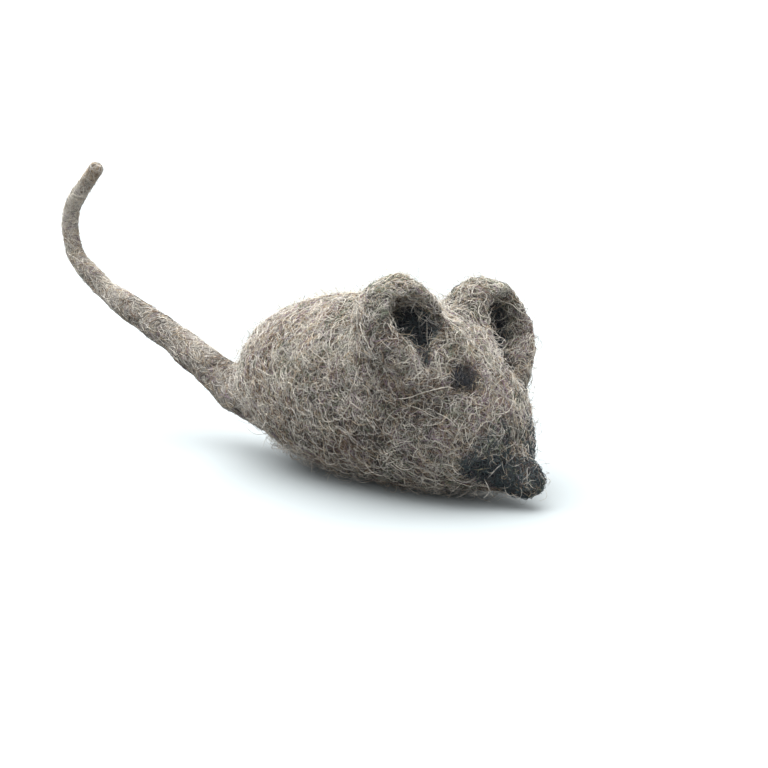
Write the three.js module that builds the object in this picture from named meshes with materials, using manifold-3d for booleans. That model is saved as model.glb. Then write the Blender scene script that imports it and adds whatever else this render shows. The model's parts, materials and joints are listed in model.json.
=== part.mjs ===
// A hand-felted wool mouse: a firm core of wool in a thick grey fleece, cupped ears, dark details
// needled on, and a felted tail that bends along its length. Millimetres. +X is forward to the
// nose, +Y is the mouse's left and +Z is up. The origin is on the floor, under the body's middle.
// An angle round the body is in degrees from straight up, and positive towards the mouse's left.
import * as THREE from "three";
import { mergeVertices } from "three/addons/utils/BufferGeometryUtils.js";
import Module from "manifold-3d";

const wasm = await Module();
wasm.setup();

// ---------------------------------------------------------------- driving dimensions
const GAP = 0.3; // clearance between neighbouring pieces

// Body: ellipses strung along X, round at the rump, blunt at the face, and low at the muzzle.
const REAR_LENGTH = 33;
const FRONT_LENGTH = 40.2;
const HALF_WIDTH = 18.6;
const HALF_HEIGHT = 18.9;
const AXIS_HEIGHT = 18.3; // a little less than HALF_HEIGHT, so the belly has a flat to rest on
const MUZZLE_DROP = { depth: 12.6, power: 5 }; // how the axis sinks towards the muzzle
const REAR_TAPER = { power: 2, fullness: 0.45 };
const FRONT_TAPER = { power: 3.5, fullness: 0.75 };
const FLEECE = 4; // thickness of the outer fleece

// Nose, eyes, and the dark wool needled in along each side of the muzzle. The face is handmade:
// the left eye sits lower than the right, and both patches are rolled a little to the left.
const NOSE = { x: 39.6, height: 5.6, radii: [3.4, 2.7, 2.9] };
const EYE = { x: 30.6, sink: 0.2, radii: [2.4, 2.4, 1.9] };
const RIGHT_EYE = { ...EYE, angle: -37 };
const LEFT_EYE = { ...EYE, angle: 51 };
const MUZZLE_PATCH = { x: 36, sink: 0.7, radii: [5.4, 2.6, 1.4] };
const RIGHT_PATCH = { ...MUZZLE_PATCH, angle: -110 };
const LEFT_PATCH = { ...MUZZLE_PATCH, angle: 118 };

// Ears: thick-walled cups that open forwards and fold about a line across their foot. Handmade,
// they don't match: the left one is set lower and deeper.
const RIGHT_EAR = { x: 18.8, angle: -35, rise: 3.4, yaw: -22, pitch: 7 };
const LEFT_EAR = { x: 18.2, angle: 46, rise: 1.5, yaw: -3, pitch: 8 };
const EAR_RADII = [8.8, 9.4, 9.4];
const EAR_WALL = 2.8;
const BOWL = { forward: 6, up: 0.4, stretch: 1.4 };
const EAR_ROOT_RADIUS = 2.2; // the felted-on root, round about the fold line
const EAR_FOLD_RISE = 0.6; // height of the fold line over the head
const EAR_SWEEP = 20; // degrees that the ear folds each way
const LINING = { thickness: 1.1, front: 3.5 }; // the dark wool inside the bowl

// Tail: centreline and radius from inside the body's core to the tip, with the largest angle at
// each bending place. It lies in the mouse's upright middle plane.
const TAIL = [
  { x: -17, z: 7.6, radius: 5.4, bend: 0 },
  { x: -39, z: 12.2, radius: 4.7, bend: 35 },
  { x: -50, z: 17.3, radius: 3.7, bend: 25 },
  { x: -61.5, z: 22.2, radius: 3.1, bend: 25 },
  { x: -73, z: 26.4, radius: 2.7, bend: 25 },
  { x: -84, z: 31.4, radius: 2.2, bend: 30 },
  { x: -91.7, z: 37.6, radius: 1.85, bend: 30 },
  { x: -92.5, z: 46.6, radius: 1.75, bend: 30 },
  { x: -82.3, z: 58.3, radius: 1.5, bend: 0 },
];
const TAIL_TIP_LENGTH = 5;
const CORE_RADIUS = 0.8; // the tail's tightly rolled inner strand

// Facets: sides round each form and rings along it.
const BODY_FACETS = [28, 22];
const CORE_FACETS = [20, 14];
const EAR_FACETS = [22, 16];
const BOWL_FACETS = [18, 12];
const TUFT_FACETS = [14, 8];
const TAIL_SIDES = 16;
const CORE_SIDES = 8;
const FAR = 100; // beyond everything

// ---------------------------------------------------------------- helpers
const radians = THREE.MathUtils.degToRad;

/** A three.js geometry as a manifold-3d solid. */
function solid(geometry) {
  const bare = geometry.clone();
  bare.deleteAttribute("normal");
  bare.deleteAttribute("uv");
  const merged = mergeVertices(bare, 1e-4);
  return new wasm.Manifold(
    new wasm.Mesh({
      numProp: 3,
      vertProperties: new Float32Array(merged.attributes.position.array),
      triVerts: new Uint32Array(merged.index.array),
    }),
  );
}

/** A manifold-3d solid as a three.js geometry. */
function geometryOf(made) {
  const mesh = made.getMesh();
  const geometry = new THREE.BufferGeometry();
  geometry.setAttribute("position", new THREE.BufferAttribute(mesh.vertProperties, 3));
  geometry.setIndex(new THREE.BufferAttribute(mesh.triVerts, 1));
  geometry.computeVertexNormals();
  return geometry;
}

/** Moves every vertex of a geometry to move(vertex). */
function reshape(geometry, move) {
  const position = geometry.attributes.position;
  const vertex = new THREE.Vector3();
  for (let i = 0; i < position.count; i++) {
    vertex.fromBufferAttribute(position, i);
    position.setXYZ(i, ...move(vertex).toArray());
  }
  return geometry;
}

function ellipsoid(radii, facets) {
  return new THREE.SphereGeometry(1, ...facets).scale(...radii);
}

function boxBetween(low, high) {
  const size = high.map((value, i) => value - low[i]);
  const middle = high.map((value, i) => (value + low[i]) / 2);
  return new THREE.BoxGeometry(...size).translate(...middle);
}

// ---------------------------------------------------------------- body
/** Half-sizes and axis height of the body's section at a station from -1, rump, to 1, muzzle. */
function section(station, inset = 0) {
  const taper = station > 0 ? FRONT_TAPER : REAR_TAPER;
  const share = Math.max(0, 1 - Math.abs(station) ** taper.power) ** taper.fullness;
  const drop = station > 0 ? MUZZLE_DROP.depth * station ** MUZZLE_DROP.power : 0;
  return {
    across: (HALF_WIDTH - inset) * share,
    up: (HALF_HEIGHT - inset) * share,
    axis: AXIS_HEIGHT - drop,
  };
}

/** The body's outside moved inwards by inset, as a closed surface. */
function bodyForm(inset, facets) {
  const sphere = new THREE.SphereGeometry(1, ...facets).rotateZ(-Math.PI / 2);
  return reshape(sphere, (vertex) => {
    const { across, up, axis } = section(vertex.x, inset);
    const length = (vertex.x > 0 ? FRONT_LENGTH : REAR_LENGTH) - inset;
    const ring = Math.hypot(vertex.y, vertex.z) || 1;
    return new THREE.Vector3(
      vertex.x * length,
      (across * vertex.y) / ring,
      axis + (up * vertex.z) / ring,
    );
  });
}

/** Point of the body's outside at a distance x along it and an angle round it. */
function surfacePoint(x, angle) {
  const { across, up, axis } = section(x / (x > 0 ? FRONT_LENGTH : REAR_LENGTH));
  const turn = radians(angle);
  return new THREE.Vector3(x, across * Math.sin(turn), axis + up * Math.cos(turn));
}

/** Frame on the body's outside: X forwards along it, Y round it to the left, Z out of it. */
function surfaceFrame({ x, angle }) {
  const origin = surfacePoint(x, angle);
  const forwards = surfacePoint(x + 0.1, angle).sub(origin).normalize();
  const round = surfacePoint(x, angle + 1).sub(origin);
  const outwards = new THREE.Vector3().crossVectors(forwards, round).normalize();
  round.crossVectors(outwards, forwards);
  return new THREE.Matrix4().makeBasis(forwards, round, outwards).setPosition(origin);
}

const floor = solid(boxBetween([-FAR, -FAR, -FAR], [FAR, FAR, 0]));
const bodyOutside = solid(bodyForm(0, BODY_FACETS)).subtract(floor);
const bodyClear = solid(bodyForm(-GAP, BODY_FACETS)); // the body with clearance round it

// ---------------------------------------------------------------- needled details
/** A tuft sunk a little more than half its depth into the body. */
function tuft(spot, grow = 0) {
  const radii = spot.radii.map((radius) => radius + grow);
  const ball = ellipsoid(radii, TUFT_FACETS).translate(0, 0, -spot.sink);
  return solid(ball.applyMatrix4(surfaceFrame(spot)));
}

function noseTuft(grow = 0) {
  const radii = NOSE.radii.map((radius) => radius + grow);
  return solid(ellipsoid(radii, TUFT_FACETS).translate(NOSE.x, 0, NOSE.height));
}

// ---------------------------------------------------------------- ears
// In an ear's own frame the fold line is the Y axis, X is the way it faces and Z is up.

/** An ear's own frame: it faces yaw and pitch degrees off forwards, and stands out of the head. */
function earFrame(ear) {
  const outwards = new THREE.Vector3();
  surfaceFrame(ear).extractBasis(new THREE.Vector3(), new THREE.Vector3(), outwards);
  const facing = new THREE.Vector3(1, 0, 0);
  facing.applyEuler(new THREE.Euler(0, -radians(ear.pitch), radians(ear.yaw), "ZYX"));
  const foldLine = new THREE.Vector3().crossVectors(outwards, facing).normalize();
  const upwards = new THREE.Vector3().crossVectors(facing, foldLine);
  const origin = surfacePoint(ear.x, ear.angle).addScaledVector(outwards, EAR_FOLD_RISE);
  return new THREE.Matrix4().makeBasis(facing, foldLine, upwards).setPosition(origin);
}

function foldBar(radius) {
  return new THREE.CylinderGeometry(radius, radius, FAR, TAIL_SIDES);
}

/** Where the folding flap must not reach: the root, and the head from every angle it folds to. */
function keepOut(frame) {
  const unplaced = frame.clone().invert();
  let space = solid(foldBar(EAR_ROOT_RADIUS + GAP).applyMatrix4(frame));
  for (const share of [-1, -0.5, 0, 0.5, 1]) {
    const fold = new THREE.Matrix4().makeRotationY(radians(share * EAR_SWEEP));
    const turnedBack = frame.clone().multiply(fold).multiply(unplaced);
    space = space.add(solid(bodyForm(-GAP, BODY_FACETS).applyMatrix4(turnedBack)));
  }
  return space;
}

/** The bowl's hollow, moved inwards by inset. */
function bowl(middle, inset) {
  const radii = EAR_RADII.map((radius) => radius - EAR_WALL - inset);
  radii[0] *= BOWL.stretch;
  return ellipsoid(radii, BOWL_FACETS).translate(BOWL.forward, 0, middle + BOWL.up);
}

function makeEar(ear) {
  const frame = earFrame(ear);
  const place = (geometry) => solid(geometry.applyMatrix4(frame));
  const middle = ear.rise - EAR_FOLD_RISE; // the cup's middle over the fold line
  const outside = place(ellipsoid(EAR_RADII, EAR_FACETS).translate(0, 0, middle));
  const notFlap = keepOut(frame);
  const liningSpace = place(boxBetween([-FAR, -FAR, 0], [LINING.front, FAR, FAR]));
  return {
    root: outside.intersect(place(foldBar(EAR_ROOT_RADIUS))).subtract(bodyClear),
    flap: outside.subtract(place(bowl(middle, 0))).subtract(notFlap),
    lining: place(bowl(middle, GAP))
      .subtract(place(bowl(middle, GAP + LINING.thickness)))
      .intersect(liningSpace)
      .subtract(notFlap),
  };
}

// ---------------------------------------------------------------- tail
const tailPoints = TAIL.map(({ x, z }) => new THREE.Vector3(x, 0, z));
const tailCurve = new THREE.CatmullRomCurve3(tailPoints, false, "centripetal");
const LAST = TAIL.length - 1;

/** Tail radius at a curve parameter, straight between stations. */
function tailRadius(t) {
  const i = Math.min(Math.floor(t * LAST), LAST - 1);
  return THREE.MathUtils.lerp(TAIL[i].radius, TAIL[i + 1].radius, t * LAST - i);
}

/** A round rod on the tail's centreline from parameter start to end, longer by extra each way. */
function tailRod(start, end, radiusAt, sides, extra = 0) {
  const rod = new THREE.CylinderGeometry(1, 1, 1, sides, 5);
  const across = new THREE.Vector3(0, 1, 0);
  return reshape(rod, (vertex) => {
    const t = THREE.MathUtils.lerp(start, end, vertex.y + 0.5);
    const along = tailCurve.getTangent(t);
    const normal = new THREE.Vector3().crossVectors(along, across);
    return tailCurve
      .getPoint(t)
      .addScaledVector(along, (2 * vertex.y) ** 3 * extra)
      .addScaledVector(across, -vertex.x * radiusAt(t))
      .addScaledVector(normal, vertex.z * radiusAt(t));
  });
}

/** Curve parameter a distance from a station, towards the station before (-1) or after (1). */
function besideStation(i, direction, distance) {
  const span = tailPoints[i].distanceTo(tailPoints[i + direction]);
  return (i + (direction * distance) / span) / LAST;
}

/** Length that a bending place takes from each of the pieces that meet there. */
function slack(i) {
  const { radius, bend } = TAIL[i];
  return radius * Math.tan(radians(bend / 2)) + GAP;
}

const tipStart = besideStation(LAST, -1, TAIL_TIP_LENGTH);
const collarEnd = besideStation(1, -1, slack(1));

function tailSegment(i) {
  const start = besideStation(i, 1, slack(i));
  const end = i < LAST - 1 ? besideStation(i + 1, -1, slack(i + 1)) : tipStart;
  const bore = tailRod(start, end, () => CORE_RADIUS + GAP, CORE_SIDES, GAP);
  return {
    felt: solid(tailRod(start, end, tailRadius, TAIL_SIDES)).subtract(solid(bore)),
    core: solid(tailRod(start, end, () => CORE_RADIUS, CORE_SIDES)),
  };
}

function tailTip() {
  const start = besideStation(LAST, -1, TAIL_TIP_LENGTH - GAP);
  const { radius } = TAIL[LAST];
  const end = besideStation(LAST, -1, radius);
  const ball = ellipsoid([radius, radius, radius], TUFT_FACETS).translate(...tailCurve.getPoint(end));
  return solid(tailRod(start, end, () => radius, TAIL_SIDES)).add(solid(ball));
}

// ---------------------------------------------------------------- assembly
const greyWool = { color: 0x8d837a, roughness: 0.95, metalness: 0 };
const paleWool = { color: 0xb9b0a4, roughness: 0.95, metalness: 0 };
const darkWool = { color: 0x1d1f25, roughness: 0.9, metalness: 0 };
const tanWool = { color: 0xb29a86, roughness: 0.95, metalness: 0 };

const mouse = new THREE.Group();

function addPiece(name, made, look) {
  const piece = new THREE.Mesh(geometryOf(made), new THREE.MeshStandardMaterial(look));
  piece.name = name;
  mouse.add(piece);
}

function addBody(tunnel) {
  let fleece = bodyOutside
    .subtract(solid(bodyForm(FLEECE, CORE_FACETS)))
    .subtract(tunnel)
    .subtract(noseTuft(GAP));
  for (const spot of [RIGHT_EYE, LEFT_EYE, RIGHT_PATCH, LEFT_PATCH]) {
    fleece = fleece.subtract(tuft(spot, GAP));
  }
  addPiece("body_fleece", fleece, greyWool);
  const core = solid(bodyForm(FLEECE + GAP, CORE_FACETS)).subtract(tunnel).subtract(noseTuft(GAP));
  addPiece("body_core", core, paleWool);
}

function addSideOfFace(name, { eye, patch, ear }) {
  const { root, flap, lining } = makeEar(ear);
  addPiece(`${name}_eye`, tuft(eye), darkWool);
  addPiece(`${name}_muzzle_patch`, tuft(patch).subtract(noseTuft(GAP)).subtract(floor), darkWool);
  addPiece(`${name}_ear_root`, root, greyWool);
  addPiece(`${name}_ear_flap`, flap, greyWool);
  addPiece(`${name}_ear_lining`, lining, darkWool);
}

function addTail(tunnel) {
  const collar = solid(tailRod(0, collarEnd, tailRadius, TAIL_SIDES));
  addPiece("tail_collar", collar.subtract(bodyClear).subtract(tunnel), greyWool);
  const anchor = solid(tailRod(0, collarEnd, () => CORE_RADIUS, CORE_SIDES));
  addPiece("tail_core_anchor", anchor, paleWool);
  for (let i = 1; i < LAST; i++) {
    const { felt, core } = tailSegment(i);
    addPiece(`tail_felt_${i}`, felt, greyWool);
    addPiece(`tail_core_${i}`, core, paleWool);
  }
  addPiece("tail_tip", tailTip(), tanWool);
}

const anchorTunnel = solid(tailRod(0, collarEnd, () => CORE_RADIUS + GAP, CORE_SIDES, GAP));
addBody(anchorTunnel);
addPiece("nose_tip", noseTuft(), darkWool);
addSideOfFace("right", { eye: RIGHT_EYE, patch: RIGHT_PATCH, ear: RIGHT_EAR });
addSideOfFace("left", { eye: LEFT_EYE, patch: LEFT_PATCH, ear: LEFT_EAR });
addTail(anchorTunnel);

export default mouse;
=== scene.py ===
"""Looks of the hand-felted wool mouse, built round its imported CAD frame.

Forms, fibres and sizes are worked out in millimetres and become metres when a mesh is made. A
felt form is the zero surface of a field that is negative inside. Wool fibres are thin closed
tubes that wander over those surfaces. +X is forward, +Y is the mouse's left and +Z is up.
"""

import json
import math

import bpy
import numpy as np
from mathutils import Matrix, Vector


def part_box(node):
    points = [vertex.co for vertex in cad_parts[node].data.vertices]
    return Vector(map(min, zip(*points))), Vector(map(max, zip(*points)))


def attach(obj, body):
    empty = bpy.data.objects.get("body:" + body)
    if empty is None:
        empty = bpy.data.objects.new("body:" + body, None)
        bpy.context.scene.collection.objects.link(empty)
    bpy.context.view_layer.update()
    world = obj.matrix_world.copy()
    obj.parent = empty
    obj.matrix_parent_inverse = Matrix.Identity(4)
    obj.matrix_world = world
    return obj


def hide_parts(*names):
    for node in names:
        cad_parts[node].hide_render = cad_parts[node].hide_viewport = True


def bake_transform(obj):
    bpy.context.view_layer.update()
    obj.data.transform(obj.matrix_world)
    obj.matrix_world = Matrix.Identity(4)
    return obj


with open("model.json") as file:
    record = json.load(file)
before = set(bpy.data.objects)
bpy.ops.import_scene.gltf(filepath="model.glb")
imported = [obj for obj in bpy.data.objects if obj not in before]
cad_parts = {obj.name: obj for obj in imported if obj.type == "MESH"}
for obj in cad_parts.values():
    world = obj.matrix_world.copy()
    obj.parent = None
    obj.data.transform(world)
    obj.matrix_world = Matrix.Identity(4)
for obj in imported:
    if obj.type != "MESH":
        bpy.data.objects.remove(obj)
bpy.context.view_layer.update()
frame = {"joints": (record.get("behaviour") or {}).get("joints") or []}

MM = 0.001
JOINTS = {joint["name"]: joint for joint in frame["joints"]}

# ---------------------------------------------------------------- sizes, the CAD's unless it says not
REAR_LENGTH, FRONT_LENGTH = 33.0, 40.2
HALF_WIDTH, HALF_HEIGHT, AXIS_HEIGHT = 18.6, 18.9, 18.3
MUZZLE_DROP, MUZZLE_DROP_POWER = 12.6, 5
REAR_TAPER = (2.0, 0.45)  # power, fullness
FRONT_TAPER = (3.5, 0.75)
NOSE_RADII = (3.4, 2.7, 2.9)
EYE_RADIUS = 2.4
PATCH_RADII = (5.4, 2.6)
EAR_RADII = (8.8, 9.4, 9.4)
EAR_BACK = 1.2  # the felt's own: how much further an ear swells behind than in front
# Each ear. The height of its cup's middle over the fold line, and where it faces, in degrees, are the
# CAD's. The rest is the felt's own, in the ear's frame: how far the cup reaches along the fold line
# to the mouse's left, the bowl's middle and radii, the channels that open it downwards and towards
# the brow, the crease it ends in, the ridge that carries its outer rim down the cheek, the middle
# and radii of its dark hollow, which is dark wool at its deepest and painted shade round that, and
# how much more softly its foot joins the head than its top. A channel or crease is a start, an end
# and two radii. A ridge is a run of points, each with a radius.
EARS = {
    "right": {
        "middle": 2.8,
        "yaw": -22,
        "pitch": 7,
        "reach": 6.7,
        "bowl": ((6.0, -0.1, 3.4), (8.4, 4.7, 5.4)),
        "channels": [
            ((6.0, 0.0, 3.0), (7.2, -3.3, -4.7), 4.4, 1.3),
            ((7.0, 1.2, 0.6), (9.8, 4.6, -4.0), 4.4, 4.8),
        ],
        "crease": ((3.5, 0.0, -1.5), (6.2, -3.4, -4.7), 1.9, 1.2),
        "ridge": [
            ((2.2, -5.4, 6.2), 1.4),
            ((4.6, -7.0, 3.2), 2.3),
            ((6.0, -7.2, 0.3), 2.2),
            ((6.2, -6.0, -4.0), 1.6),
        ],
        "hollow": ((0.0, 1.5, -0.2), (4.5, 3.9, 4.6)),
        "melt": 6.0,
    },
    "left": {
        "middle": 0.9,
        "yaw": -3,
        "pitch": 8,
        "reach": 12.0,
        "bowl": ((6.0, 0.6, 1.3), (8.4, 6.0, 6.6)),
        "channels": [((6.0, 0.6, 1.3), (9.5, 2.6, -7.4), 5.6, 5.0)],
        "crease": ((4.0, 2.0, -2.5), (6.5, 6.5, -5.4), 1.7, 0.8),
        "ridge": [
            ((2.4, 3.2, 6.2), 1.3),
            ((4.4, 5.0, 4.2), 2.1),
            ((5.4, 7.5, 0.9), 2.3),
            ((6.8, 8.8, -4.4), 1.6),
        ],
        "hollow": ((0.0, 0.4, 0.8), (4.5, 5.4, 5.2)),
        "melt": 2.0,
    },
}
TAIL_START, TAIL_END = (-17, 7.6), (-82.3, 58.3)
TAIL_RADII = (5.3, 4.6, 3.6, 3.0, 2.6, 2.1, 1.75, 1.65, 1.4)  # the felt's, a little under the CAD's
TAIL_TIP_LENGTH = 5.0

# ---------------------------------------------------------------- sizes of the felt
CELL = 0.35  # spacing of the grid that the forms are sampled on
GRID_LOW, GRID_HIGH = (-37, -24, -2.5), (46.5, 27.5, 50)
# How far the felt lies under the CAD's outside, for the fibres, and under the nose's felt.
BODY_INSET, EAR_INSET, NOSE_INSET = 0.6, 0.8, 0.6
# How broadly forms melt into each other, or how round their edges are.
NOSE_JOIN, CHANNEL_JOIN, RIDGE_JOIN, EAR_JOIN = 4.5, 1.6, 3, 3.5
RIM_ROUNDING, REACH_ROUNDING, CUT_ROUNDING, PATCH_ROUNDING = 1.6, 3, 1.2, 0.5
RIDGE_CLEAR, HEAD_CLEAR = 0.4, 0.7  # how far an ear's ridge and the head may fill its bowl's edge
FOOT_HEIGHT = 5  # of an ear, below its fold line, over which its join grows broader
EAR_ZONE, RIDGE_ZONE, ROOT_DEPTH = 4, 3, 2.5  # how far an ear's felt reaches outside its forms
EAR_SINK = 0.12  # of an ear's felt under the whole mouse's surface, so the body's shows where both are
# Rise and depth of the dark sheet in each ear's hollow, which is dark wool at the deepest part and
# painted shade round it.
LINING_AND_SHADE_RISE, LINING_AND_SHADE_DEPTH = 0.3, 0.6
EYE_FELT_RADII = (EYE_RADIUS - 0.35,) * 2  # the fibres round it make up the rest
EYE_RISE, MUZZLE_RISE, PATCH_DEPTH, PATCH_REACH = 0.25, 0.15, 1.2, 3.0
DIMPLE_DEPTH, DIMPLE_RADIUS = 0.5, 3  # round an eye
FLOOR_GAP = 0.12  # from the floor to the lowest line of a fibre

# ---------------------------------------------------------------- camera and view
TARGET = (2.0, 1.8, 18.8)
AZIMUTH, ELEVATION, DISTANCE = 41, 12, 400
FIELD_OF_VIEW = 22.2


# ---------------------------------------------------------------- noise
def make_noise(seed):
    """Smooth noise in space, about -1 to 1: noise(points, scale) has lumps of about that scale."""
    size = 24  # lumps along each side of the block that repeats
    lattice = np.random.default_rng(seed).uniform(-1, 1, (size,) * 3).astype(np.float32)

    def noise(points, scale):
        at = np.asarray(points, np.float32) / scale
        cell = np.floor(at).astype(np.int32)
        part = at - cell
        part = part * part * (3 - 2 * part)
        total = 0
        for corner in np.ndindex(2, 2, 2):
            index = tuple((cell[..., i] + corner[i]) % size for i in range(3))
            share = 1
            for i in range(3):
                share = share * (part[..., i] if corner[i] else 1 - part[..., i])
            total = total + share * lattice[index]
        return total

    return noise


lumps = make_noise(3)
crumbs = make_noise(4)
patches = make_noise(5)
tints = make_noise(6)


# ---------------------------------------------------------------- fields
def soft_min(a, b, reach):
    """The smaller of two fields, with the join between them rounded over about reach."""
    over = np.maximum(reach - np.abs(a - b), 0) / reach
    return np.minimum(a, b) - over * over * reach / 4


def soft_max(a, b, reach):
    """The larger of two fields, rounded in the same way."""
    return -soft_min(-a, -b, reach)


def ellipsoid(points, radii):
    """About the distance to an ellipsoid round the origin."""
    radii = np.asarray(radii, np.float32)
    near = np.linalg.norm(points / radii, axis=-1)
    slope = np.linalg.norm(points / radii**2, axis=-1)
    return near * (near - 1) / np.maximum(slope, 1e-6)


def capsule(points, start, end, radius_start, radius_end):
    """About the distance to a round-ended rod whose radius changes evenly along it."""
    start, end = np.asarray(start, np.float32), np.asarray(end, np.float32)
    run = end - start
    share = np.clip((points - start) @ run / (run @ run), 0, 1)
    radius = radius_start + (radius_end - radius_start) * share
    return np.linalg.norm(points - start - share[..., None] * run, axis=-1) - radius


def rod(points, run):
    """About the distance to a round-ended rod through a run of points, each with its radius."""
    ends = zip(run, run[1:])
    return np.minimum.reduce([capsule(points, a, b, near, far) for (a, near), (b, far) in ends])


class Grid:
    """The box of nodes that fields are sampled on."""

    def __init__(self, low, high, cell):
        self.low, self.cell = np.array(low, np.float32), cell
        counts = np.ceil((np.array(high) - low) / cell).astype(int) + 1
        axes = [self.low[i] + cell * np.arange(counts[i], dtype=np.float32) for i in range(3)]
        self.points = np.stack(np.meshgrid(*axes, indexing="ij"), -1)

    def distance(self, field):
        """A field scaled so that it grows by 1 for each millimetre near its zero surface."""
        slopes = np.gradient(field, self.cell)
        return field / np.maximum(np.sqrt(sum(s * s for s in slopes)), 1e-4)

    def sample(self, field, points):
        """A field's values at points between the nodes."""
        at = (points - self.low) / self.cell
        at = np.clip(at, 0, np.array(field.shape[:3]) - 1.001)
        cell = at.astype(int)
        part = at - cell
        total = 0
        for corner in np.ndindex(2, 2, 2):
            share = 1
            for i in range(3):
                share = share * (part[:, i] if corner[i] else 1 - part[:, i])
            value = field[tuple(cell[:, i] + corner[i] for i in range(3))]
            total = total + (share[:, None] if field.ndim == 4 else share) * value
        return total

    def roughen(self, field, *layers):
        """Adds layers of noise, each (noise, scale, depth), to a field near its zero surface."""
        near = np.abs(field) < 3
        points = self.points[near]
        field[near] += sum(depth * noise(points, scale) for noise, scale, depth in layers)
        return field


class Surface:
    """A field's zero surface, which points can be settled on."""

    def __init__(self, grid, field):
        self.grid, self.field = grid, field
        self.slopes = np.stack(np.gradient(field, grid.cell), -1)

    def settle(self, points, times=2):
        """Moves points towards the surface, and gives its outward direction there too."""
        for _ in range(times):
            slope = self.grid.sample(self.slopes, points)
            size = np.maximum(np.linalg.norm(slope, axis=1, keepdims=True), 1e-4)
            away = self.grid.sample(self.field, points)[:, None] / size
            normal = slope / size
            points = points - normal * np.clip(away, -1, 1)
        return points, normal


EDGES = [(a, b) for a in range(8) for b in range(a + 1, 8) if bin(a ^ b).count("1") == 1]


def skin(grid, field):
    """Corners and four-sided faces of a field's zero surface."""
    inside = field < 0
    spots = np.argwhere(inside)
    first = np.maximum(spots.min(0) - 2, 0)
    last = np.minimum(spots.max(0) + 3, field.shape)
    box = tuple(slice(a, b) for a, b in zip(first, last))
    field, inside = field[box], inside[box]
    corners = np.array(list(np.ndindex(2, 2, 2)))
    size = np.array(field.shape) - 1
    count = np.zeros(size, np.int8)
    for i, j, k in corners:
        count += inside[i : i + size[0], j : j + size[1], k : k + size[2]]
    cells = np.argwhere((count > 0) & (count < 8))
    number = np.full(size, -1, np.int64)
    number[tuple(cells.T)] = np.arange(len(cells))
    values = np.stack([field[tuple((cells + c).T)] for c in corners], 1)
    total, hits = np.zeros((len(cells), 3)), np.zeros(len(cells))
    for a, b in EDGES:
        va, vb = values[:, a], values[:, b]
        crossed = (va < 0) != (vb < 0)
        share = np.where(crossed, va / np.where(crossed, va - vb, 1), 0)
        spot = corners[a] + share[:, None] * (corners[b] - corners[a])
        total += np.where(crossed[:, None], spot, 0)
        hits += crossed
    verts = (cells + total / hits[:, None] + first) * grid.cell + grid.low
    faces = []
    for axis in range(3):
        second, third = (axis + 1) % 3, (axis + 2) % 3
        ahead = np.take(inside, range(1, inside.shape[axis]), axis)
        behind = np.take(inside, range(inside.shape[axis] - 1), axis)
        for flip, change in ((False, behind & ~ahead), (True, ahead & ~behind)):
            edge = np.argwhere(change)
            ring = []
            for back_second, back_third in ((1, 1), (0, 1), (0, 0), (1, 0)):
                cell = edge.copy()
                cell[:, second] -= back_second
                cell[:, third] -= back_third
                ring.append(number[tuple(cell.T)])
            ring = np.stack(ring, 1)
            faces.append(ring[:, ::-1] if flip else ring)
    return verts, np.concatenate(faces)


# ---------------------------------------------------------------- meshes
def make_object(name, verts, faces, materials, slots=None):
    """A mesh object from millimetre corners and faces that all have the same number of sides."""
    mesh = bpy.data.meshes.new(name)
    sides = faces.shape[1]
    mesh.vertices.add(len(verts))
    mesh.vertices.foreach_set("co", (np.asarray(verts) * MM).astype(np.float32).ravel())
    mesh.loops.add(faces.size)
    mesh.loops.foreach_set("vertex_index", faces.astype(np.int32).ravel())
    mesh.polygons.add(len(faces))
    mesh.polygons.foreach_set("loop_start", np.arange(0, faces.size, sides, dtype=np.int32))
    for material in materials:
        mesh.materials.append(material)
    if slots is not None:
        mesh.polygons.foreach_set("material_index", slots.astype(np.int32))
    mesh.update(calc_edges=True)
    mesh.shade_smooth()
    made = bpy.data.objects.new(name, mesh)
    bpy.context.scene.collection.objects.link(made)
    return made


# ---------------------------------------------------------------- materials
def linear(colour):
    """Linear RGBA from 0 to 255 display values."""
    share = [value / 255 for value in colour]
    return [v / 12.92 if v <= 0.04045 else ((v + 0.055) / 1.055) ** 2.4 for v in share] + [1]


def new_material(name, roughness, sheen):
    """A dull material of one colour, and its shader."""
    material = bpy.data.materials.new(name)
    material.use_nodes = True
    shader = material.node_tree.nodes["Principled BSDF"]
    shader.inputs["Roughness"].default_value = roughness
    shader.inputs["Specular IOR Level"].default_value = 0.25
    shader.inputs["Sheen Weight"].default_value = sheen
    shader.inputs["Sheen Roughness"].default_value = 0.6
    return material, shader


def noise_node(tree, scale, detail):
    """Noise in object space with lumps of about 1 / scale metres."""
    place = tree.nodes.new("ShaderNodeTexCoord")
    noise = tree.nodes.new("ShaderNodeTexNoise")
    noise.inputs["Scale"].default_value = scale
    noise.inputs["Detail"].default_value = detail
    tree.links.new(place.outputs["Object"], noise.inputs["Vector"])
    return noise


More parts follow.
